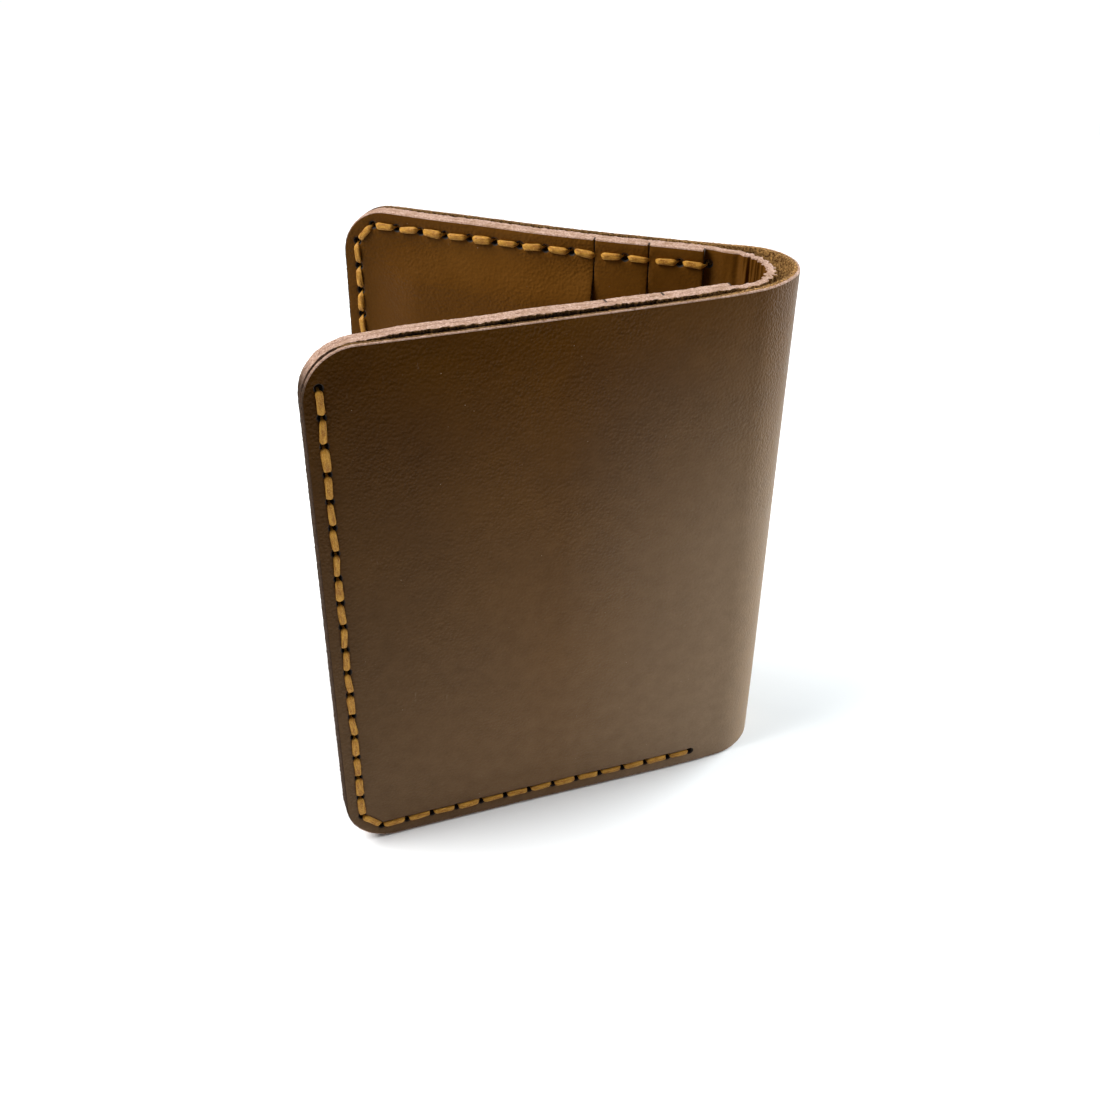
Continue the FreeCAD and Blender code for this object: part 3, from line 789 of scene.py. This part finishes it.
def sweep_thread(points, side):
    """Rings of a flat, twisted thread round a line, with their texture places."""
    line = points[:, :3]
    tangent = np.gradient(line, axis=0)
    tangent /= np.linalg.norm(tangent, axis=1)[:, None]
    across = np.stack([-points[:, 5], points[:, 4], np.zeros(len(points))], axis=1)
    across -= tangent * (across * tangent).sum(axis=1)[:, None]
    across /= np.linalg.norm(across, axis=1)[:, None]
    up = np.cross(tangent, across)
    travel = np.concatenate([[0.0], np.cumsum(np.linalg.norm(np.diff(line, axis=0), axis=1))])
    angles = np.linspace(0.0, 2.0 * math.pi, THREAD_SIDES, endpoint=False)
    rings, flat = [], []
    for i, (centre, width) in enumerate(zip(line, points[:, 3])):
        plies = 1.0 + PLY_DEPTH * np.cos(PLIES * angles + travel[i] * PLY_TWIST)
        wide = shouldered(np.cos(angles)) * width * plies
        high = shouldered(np.sin(angles)) * THREAD_FLATNESS * width * plies
        rings.append(centre + np.outer(wide, across[i]) + np.outer(high, up[i]))
        flat += [(a / (2.0 * math.pi), travel[i]) for a in angles]
    ring_points = np.vstack(rings)
    return to_world(ring_points[:, 0], ring_points[:, 1], ring_points[:, 2], side), flat


def tube_faces(first, ring_count):
    """Faces of a closed tube of rings, with its two ends."""
    faces = []
    n = THREAD_SIDES
    for i in range(ring_count - 1):
        for k in range(n):
            a, b = first + i * n + k, first + i * n + (k + 1) % n
            faces.append([a, b, b + n, a + n])
    faces.append([first + k for k in range(n)][::-1])
    faces.append([first + (ring_count - 1) * n + k for k in range(n)])
    return faces


def face_places(side, hidden):
    """Depth of a thread lying on the outer or hidden face, and on the inner face."""
    def outer(s, z, height):
        if hidden:
            return float(liner_depth(s, z, side, 0.0) + warp(s, z, side)) - height
        return float(warp(s, z, side)) + SUNK - height

    def inner(s, z, height):
        liner = float(liner_depth(min(s, LAST_HOLE - 0.6), z, side, LEATHER))
        return liner + float(warp(s, z, side)) + LEATHER + 0.06 + height
    return [outer, inner]


def make_thread(name, side, lines, material, cad_node):
    """A sewn thread made of lines through its holes."""
    verts, faces, flat = [], [], []
    for line in lines:
        points = refine(line)
        placed, uv = sweep_thread(points, side)
        faces += tube_faces(sum(len(v) for v in verts), len(points))
        verts.append(placed)
        flat += uv
    obj = new_mesh(name, np.vstack(verts), faces, [0] * len(faces), np.array(flat))
    if side == "back":
        obj.data.flip_normals()
    finish_piece(obj, [material], [cad_node])
    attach(obj, f"{side}_panel")


def make_threads(side, material):
    """The thread through every layer and the one through the pockets and liner."""
    row = side_row() + bottom_row()
    places = face_places(side, hidden=False)
    lines = [thread_line(row, places, first) for first in (0, 1)]
    make_thread(f"edge_stitches_{side}", side, lines, material, f"edge_thread_{side}")
    row = TAIL_ROW[::-1] + top_row()[1:]
    places = face_places(side, hidden=True)
    lines = [thread_line(row, places, first) for first in (0, 1)]
    lines[0] = lines[0][len(STITCH) * 2:]
    make_thread(f"top_stitches_{side}", side, lines, material, f"top_thread_{side}")


# ---- materials

# Colours of the leather where it is new, scratched or speckled; the low-down colour is a painted
# reflection of the floor, and the fold's pale colour is a painted sheen, partly real pull-up
# paling.
OUTSIDE = {"deep": (0.058, 0.019, 0.0003), "warm": (0.084, 0.030, 0.0006),
           "wear_and_reflection": (0.162, 0.095, 0.049), "reflection_height": 98.0, "fold_sheen_and_pull_up": 0.46,
           "pebble": 0.00028}
INSIDE = {"deep": (0.095, 0.034, 0.003), "warm": (0.125, 0.048, 0.006),
          "wear_and_reflection": (0.120, 0.048, 0.008), "reflection_height": 30.0, "fold_sheen_and_pull_up": 0.0,
          "pebble": 0.00012}
FOLD_SHEEN_AND_PULL_UP = (0.34, 0.25, 0.17)
SCRATCHED = (0.5, 0.4, 0.32)
SPECK = (0.62, 0.48, 0.36)


def node(tree, kind, inputs=None, **settings):
    """A shader node with settings, and inputs that are values or other nodes' outputs."""
    made = tree.nodes.new(kind)
    for key, value in settings.items():
        setattr(made, key, value)
    for key, value in (inputs or {}).items():
        if isinstance(value, bpy.types.NodeSocket):
            tree.links.new(value, made.inputs[key])
        else:
            made.inputs[key].default_value = value
    return made


def noise_node(tree, place, scale, detail=3.0, roughness=0.5):
    """Soft noise from 0 to 1."""
    inputs = {"Vector": place, "Scale": scale, "Detail": detail, "Roughness": roughness}
    return node(tree, "ShaderNodeTexNoise", inputs).outputs["Fac"]


def calc(tree, operation, a, b=0.0):
    """A sum, product or other plain operation."""
    return node(tree, "ShaderNodeMath", {0: a, 1: b}, operation=operation).outputs[0]


def between(tree, value, low, high, new_low=0.0, new_high=1.0):
    """A value carried from one range to another, held at its ends."""
    inputs = {"Value": value, "From Min": low, "From Max": high,
              "To Min": new_low, "To Max": new_high}
    return node(tree, "ShaderNodeMapRange", inputs).outputs["Result"]


def blend_colour(tree, share, first, second):
    """One colour fading into another."""
    first = first if isinstance(first, bpy.types.NodeSocket) else (*first, 1.0)
    second = second if isinstance(second, bpy.types.NodeSocket) else (*second, 1.0)
    made = node(tree, "ShaderNodeMix", {0: share, 6: first, 7: second}, data_type="RGBA")
    return made.outputs[2]


def times(tree, a, b):
    """The product of two values."""
    return calc(tree, "MULTIPLY", a, b)


def bump_node(tree, height, distance, normal=None):
    """Relief of a height from 0 to 1 over a distance in metres."""
    inputs = {"Height": height, "Strength": 1.0, "Distance": distance}
    if normal is not None:
        inputs["Normal"] = normal
    return node(tree, "ShaderNodeBump", inputs).outputs["Normal"]


def new_material(name):
    """An empty material: its node tree and its main shader."""
    material = bpy.data.materials.new(name)
    material.use_nodes = True
    tree = material.node_tree
    return material, tree, tree.nodes["Principled BSDF"]


def in_millimetres(tree, coordinate, stretch=(1.0, 1.0, 1.0)):
    """A texture coordinate in millimetres, stretched along its axes."""
    source = node(tree, "ShaderNodeTexCoord").outputs[coordinate]
    scale = tuple(share / MM for share in stretch)
    return node(tree, "ShaderNodeMapping", {"Vector": source, "Scale": scale}).outputs["Vector"]


def axis(tree, place, letter):
    """One coordinate of a place."""
    return node(tree, "ShaderNodeSeparateXYZ", {"Vector": place}).outputs[letter]


def from_spine(tree, place):
    """Distance along the opened-out leather from the middle of the fold."""
    along = calc(tree, "SUBTRACT", axis(tree, place, "X"), 0.5 * TOTAL)
    return calc(tree, "ABSOLUTE", along)


def dyed(tree, place, mottle, fine, finish):
    """The leather's colour: cloudy, with painted floor reflection that greys it low down, painted
    sheen that lightens it at the fold (partly real pull-up paling), and painted shade towards the
    free edge.
    """
    cloud = noise_node(tree, place, 0.045, 2.0)
    colour = blend_colour(tree, between(tree, cloud, 0.32, 0.68), finish["deep"], finish["warm"])
    up = axis(tree, place, "Y")
    # Painted floor reflection: a greyer colour blended in towards the bottom.
    reflection_share = between(tree, up, finish["reflection_height"], 12.0)
    reflection_share = times(tree, reflection_share, between(tree, mottle, 0.2, 0.8, 0.8, 1.0))
    colour = blend_colour(tree, reflection_share, colour, finish["wear_and_reflection"])
    # Painted sheen on the fold, partly real pull-up paling, weaker towards the top.
    away = from_spine(tree, place)
    sheen_and_pull_up_share = times(tree, between(tree, away, 50.0, 10.0, 0.0, finish["fold_sheen_and_pull_up"]),
                  between(tree, up, 105.0, 55.0, 0.1, 1.0))
    colour = blend_colour(tree, sheen_and_pull_up_share, colour, FOLD_SHEEN_AND_PULL_UP)
    # Random tone from the mottle, times painted shade that darkens the colour towards the free
    # edge.
    shade = calc(tree, "ADD", times(tree, mottle, 0.5), times(tree, fine, 0.5))
    value = times(tree, between(tree, shade, 0.3, 0.7, 0.88, 1.12),
                  between(tree, away, 0.5 * TOTAL, 52.0, 0.66, 1.0))
    adjusted = node(tree, "ShaderNodeHueSaturation", {"Color": colour, "Value": value})
    return adjusted.outputs["Color"]


def scratches(tree, place):
    """Where the leather has fine upright scratches, in a few patches."""
    scratch = noise_node(tree, in_millimetres(tree, "UV", (0.9, 0.22, 1.0)), 0.9, 5.0, 0.65)
    patch = between(tree, noise_node(tree, place, 0.09, 1.0), 0.52, 0.66)
    return times(tree, between(tree, scratch, 0.66, 0.74), patch)


def specks(tree, place):
    """Where the leather has its few pale specks."""
    cells = node(tree, "ShaderNodeTexVoronoi", {"Vector": place, "Scale": 0.55},
                 feature="F1").outputs["Distance"]
    rare = between(tree, noise_node(tree, place, 0.21, 0.0), 0.60, 0.62)
    return times(tree, between(tree, cells, 0.028, 0.045, 1.0, 0.0), rare)


def pebbles(tree, place, fine):
    """Height of the grain's pebbles: weaker low down, in patches and next to the fold."""
    grain = node(tree, "ShaderNodeTexVoronoi", {"Vector": place, "Scale": 1.9},
                 feature="F1").outputs["Distance"]
    strong = between(tree, noise_node(tree, place, 0.07, 1.0), 0.35, 0.7, 0.45, 1.0)
    up = axis(tree, place, "Y")
    strong = times(tree, strong, between(tree, up, 15.0, 95.0, 0.4, 1.0))
    strong = times(tree, strong, between(tree, from_spine(tree, place), 15.0, 40.0, 0.5, 1.0))
    return times(tree, calc(tree, "ADD", grain, times(tree, fine, 0.5)), strong)


def leather_grain(name, finish):
    """Waxed full-grain leather with scratches, specks and fine pebbles."""
    material, tree, shader = new_material(name)
    place = in_millimetres(tree, "UV")
    mottle = noise_node(tree, place, 0.32, 4.0, 0.6)
    fine = noise_node(tree, place, 2.2, 3.0, 0.6)
    colour = dyed(tree, place, mottle, fine, finish)
    scratch = scratches(tree, place)
    # Scratches mix the low-down colour, which is the painted floor reflection, with a pale
    # scratch colour.
    scratched = blend_colour(tree, 0.5, finish["wear_and_reflection"], SCRATCHED)
    colour = blend_colour(tree, times(tree, scratch, 0.30), colour, scratched)
    colour = blend_colour(tree, times(tree, specks(tree, place), 0.5), colour, SPECK)
    tree.links.new(colour, shader.inputs["Base Color"])
    rough = between(tree, mottle, 0.25, 0.75, 0.40, 0.56)
    tree.links.new(rough, shader.inputs["Roughness"])
    shader.inputs["Specular IOR Level"].default_value = 0.07
    shader.inputs["Specular Tint"].default_value = (1.0, 0.72, 0.40, 1.0)
    shader.inputs["Sheen Weight"].default_value = 0.06
    shader.inputs["Sheen Roughness"].default_value = 0.12
    shader.inputs["Sheen Tint"].default_value = (0.98, 0.93, 0.80, 1.0)
    normal = bump_node(tree, scratch, -0.00003)
    normal = bump_node(tree, pebbles(tree, place, fine), finish["pebble"], normal)
    tree.links.new(normal, shader.inputs["Normal"])
    return material


def raw_edge():
    """A cut edge: pale fibres packed across the leather, with painted shade that darkens it at
    the free edge.
    """
    material, tree, shader = new_material("leather_cut_edge")
    place = in_millimetres(tree, "Object")
    fibre = noise_node(tree, place, 3.2, 5.0, 0.7)
    patch = noise_node(tree, place, 0.5, 3.0, 0.6)
    colour = blend_colour(tree, between(tree, fibre, 0.35, 0.65),
                          (0.26, 0.13, 0.08), (0.66, 0.46, 0.36))
    colour = blend_colour(tree, between(tree, patch, 0.45, 0.70, 0.0, 0.6),
                          colour, (0.30, 0.17, 0.09))
    # Painted shade: a near-black colour along the cut edge at the free edge.
    edge_shade = blend_colour(tree, fibre, (0.012, 0.006, 0.003), (0.085, 0.045, 0.022))
    away = from_spine(tree, in_millimetres(tree, "UV"))
    edge_shade_share = between(tree, away, 0.5 * TOTAL - 2.4, 0.5 * TOTAL - 0.3)
    colour = blend_colour(tree, edge_shade_share, colour, edge_shade)
    tree.links.new(colour, shader.inputs["Base Color"])
    shader.inputs["Roughness"].default_value = 0.9
    shader.inputs["Specular IOR Level"].default_value = 0.15
    tree.links.new(bump_node(tree, fibre, 0.00035), shader.inputs["Normal"])
    return material


def gritty(name, noise_look, dark, pale, roughness):
    """A plain finish speckled with two colours; noise_look is its scale, detail and roughness."""
    material, tree, shader = new_material(name)
    grit = noise_node(tree, in_millimetres(tree, "Object"), *noise_look)
    tree.links.new(blend_colour(tree, grit, dark, pale), shader.inputs["Base Color"])
    shader.inputs["Roughness"].default_value = roughness
    return material


def burnished_and_shaded_edge():
    """A pocket's mouth: the cut edge, smooth and burnished dark, and darker still with painted
    shade of the step behind the pocket's edge.
    """
    return gritty("leather_burnished_and_shaded_edge", (3.0, 4.0, 0.6), (0.018, 0.008, 0.003),
                  (0.060, 0.026, 0.010), 0.6)


def hole_wall():
    """Nearly black wall of an awl hole: painted shade inside the hole, partly real burnish and
    dirt.
    """
    return gritty("awl_hole_wall", (4.0, 3.0, 0.5), (0.004, 0.003, 0.003),
                  (0.020, 0.011, 0.007), 0.8)


def suede():
    """The flesh side: short nap, brown in the fold, with painted shade that darkens it inside the
    compartments away from the fold.
    """
    material, tree, shader = new_material("leather_flesh_side")
    nap = noise_node(tree, in_millimetres(tree, "Object"), 2.6, 5.0, 0.75)
    nap = between(tree, nap, 0.40, 0.60)
    place = in_millimetres(tree, "UV")
    in_fold = 0.5 * ARC
    # Painted shade: the nap turns near black away from the fold, where the compartments are shut,
    # and less so at the top edge.
    compartment_shade = between(tree, from_spine(tree, place), in_fold + 2.0, in_fold + 20.0)
    below_top = between(tree, axis(tree, place, "Y"), HEIGHT - 0.7, HEIGHT - 0.1, 1.0, 0.55)
    compartment_shade = times(tree, compartment_shade, below_top)
    dark = blend_colour(tree, nap, (0.006, 0.002, 0.0005), (0.085, 0.034, 0.009))
    brown = blend_colour(tree, nap, (0.09, 0.032, 0.006), (0.68, 0.36, 0.11))
    tree.links.new(blend_colour(tree, compartment_shade, brown, dark), shader.inputs["Base Color"])
    shader.inputs["Roughness"].default_value = 0.95
    shader.inputs["Specular IOR Level"].default_value = 0.15
    tree.links.new(bump_node(tree, nap, 0.0003), shader.inputs["Normal"])
    return material


def thread_finish():
    """Waxed golden-tan thread with darker furrows between its plies."""
    material, tree, shader = new_material("waxed_thread")
    source = node(tree, "ShaderNodeTexCoord").outputs["UV"]
    noises = []
    for scale, detail, roughness in (((9.0, 0.55, 1.0), 4.0, 0.7), ((30.0, 3.0, 1.0), 3.0, 0.6)):
        place = node(tree, "ShaderNodeMapping", {"Vector": source, "Scale": scale})
        noises.append(noise_node(tree, place.outputs["Vector"], 1.0, detail, roughness))
    strand, fibre = noises
    colour = blend_colour(tree, between(tree, strand, 0.36, 0.62),
                          (0.24, 0.080, 0.006), (0.52, 0.255, 0.030))
    colour = blend_colour(tree, between(tree, fibre, 0.52, 0.68, 0.0, 0.5),
                          colour, (0.80, 0.50, 0.12))
    tree.links.new(colour, shader.inputs["Base Color"])
    shader.inputs["Roughness"].default_value = 0.6
    shader.inputs["Specular IOR Level"].default_value = 0.25
    tree.links.new(bump_node(tree, fibre, 0.00005), shader.inputs["Normal"])
    return material


# ---- stage

FLOOR_SIZE = 0.46             # half a side, in metres
SURROUND_LIGHT = 0.22         # how strongly the surround lights the wallet
SURROUND_SEEN = 1.05          # how bright it looks behind it
LENS = 40.73                  # millimetres
CAMERA_PLACE = (-0.00808, -0.20342, 0.18014)
CAMERA_TURN = (1.89, 33.62, 0.686)      # degrees right, down and of tilt


def make_floor():
    """A pale floor under the wallet."""
    mesh = bpy.data.meshes.new("floor")
    size = FLOOR_SIZE
    corners = [(-size, -size, 0), (size, -size, 0), (size, size, 0), (-size, size, 0)]
    mesh.from_pydata(corners, [], [(0, 1, 2, 3)])
    floor = bpy.data.objects.new("floor", mesh)
    bpy.context.scene.collection.objects.link(floor)
    floor.location.z = -0.0002
    material, _tree, shader = new_material("floor")
    shader.inputs["Base Color"].default_value = (0.86, 0.86, 0.86, 1.0)
    shader.inputs["Roughness"].default_value = 0.8
    mesh.materials.append(material)


def make_surround():
    """A dim surround that is seen as pale behind the wallet."""
    world = bpy.data.worlds.new("surround")
    bpy.context.scene.world = world
    world.use_nodes = True
    tree = world.node_tree
    shade = tree.nodes["Background"]
    shade.inputs["Color"].default_value = (0.97, 0.98, 1.0, 1.0)
    seen = node(tree, "ShaderNodeLightPath").outputs["Is Camera Ray"]
    strength = between(tree, seen, 0.0, 1.0, SURROUND_LIGHT, SURROUND_SEEN)
    tree.links.new(strength, shade.inputs["Strength"])
    bpy.context.scene.view_settings.view_transform = "Standard"


def add_light(name, place, power, colour):
    """A square soft light that faces the wallet."""
    light = bpy.data.lights.new(name, "AREA")
    light.shape = "SQUARE"
    light.size = 0.5
    light.energy = power
    light.color = colour
    obj = bpy.data.objects.new(name, light)
    obj.location = place
    facing = Vector((0.0, 0.0, 0.5 * HEIGHT * MM)) - Vector(place)
    obj.rotation_euler = facing.to_track_quat("-Z", "Y").to_euler()
    bpy.context.scene.collection.objects.link(obj)


def make_lights():
    """Light from above on the left, and grazing light on the fold."""
    add_light("key", (-0.55, -0.06, 0.72), 12.0, (1.0, 1.0, 1.0))
    add_light("rim", (0.62, 0.33, 0.30), 11.5, (0.90, 0.97, 1.0))


def make_camera():
    """The photographer's place: close, in front and above."""
    data = bpy.data.cameras.new("camera")
    data.lens = LENS
    data.sensor_width = 36.0
    camera = bpy.data.objects.new("camera", data)
    yaw, pitch, roll = (math.radians(angle) for angle in CAMERA_TURN)
    ahead = Vector((math.sin(yaw) * math.cos(pitch), math.cos(yaw) * math.cos(pitch),
                    -math.sin(pitch)))
    right = Vector((math.cos(yaw), -math.sin(yaw), 0.0))
    down = ahead.cross(right)
    turned_right = right * math.cos(roll) - down * math.sin(roll)
    turned_down = right * math.sin(roll) + down * math.cos(roll)
    matrix = camera.matrix_world.to_3x3()
    matrix.col[0], matrix.col[1], matrix.col[2] = turned_right, -turned_down, -ahead
    camera.matrix_world = matrix.to_4x4()
    camera.location = CAMERA_PLACE
    bpy.context.scene.collection.objects.link(camera)
    bpy.context.scene.camera = camera


# ---- all

def build():
    """Every visible piece, and the stage."""
    cut, hole, burnish_and_mouth_shade = raw_edge(), hole_wall(), burnished_and_shaded_edge()
    flesh = suede()
    outside = leather_grain("leather_outside", OUTSIDE)
    inside = leather_grain("leather_inside", INSIDE)
    shell_set = [outside, flesh, cut, hole]
    inner_set = [inside, flesh, cut, hole, burnish_and_mouth_shade]
    thread = thread_finish()
    for side in INWARD:
        make_shell_panel(side, shell_set)
        make_liner_panel(side, inner_set)
        for number in (1, 2, 3):
            make_pocket(number, side, inner_set)
        make_threads(side, thread)
    for index in range(len(HINGES)):
        make_fold_piece("shell", index, shell_fold, [outside, flesh, cut])
        make_fold_piece("liner", index, liner_fold, [inside, flesh, cut])
    make_floor()
    make_surround()
    make_lights()
    make_camera()


build()
